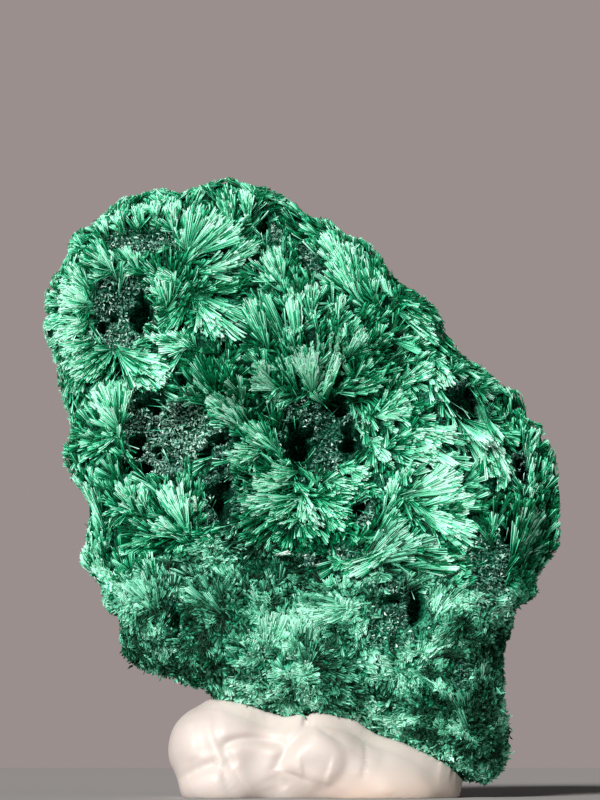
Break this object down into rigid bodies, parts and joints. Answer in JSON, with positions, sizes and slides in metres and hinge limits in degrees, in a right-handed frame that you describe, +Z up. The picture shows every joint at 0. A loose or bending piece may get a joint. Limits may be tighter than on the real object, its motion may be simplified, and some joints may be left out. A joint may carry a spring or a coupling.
{
  "type": "malachite specimen on display putty",
  "caption": "Slab of fibrous malachite whose front is covered with fans of needles about hollows, standing on a kneaded lump of white putty.",
  "frame": {"origin": "on the surface that the putty stands on, under the middle of the whole object's bounding box", "axes": "+Z up, +X to the right of a viewer who faces the front of the stone, and the front faces -Y"},
  "size_m": [0.0438, 0.0182, 0.0525],
  "materials": {
    "malachite": "silky fibrous green malachite, mint at the needle tips and black green in the hollows",
    "putty": "smooth white kneaded mounting putty, satin"
  },
  "bodies": {
    "root": {"malachite": "malachite", "putty": "putty"}
  },
  "joints": []
}
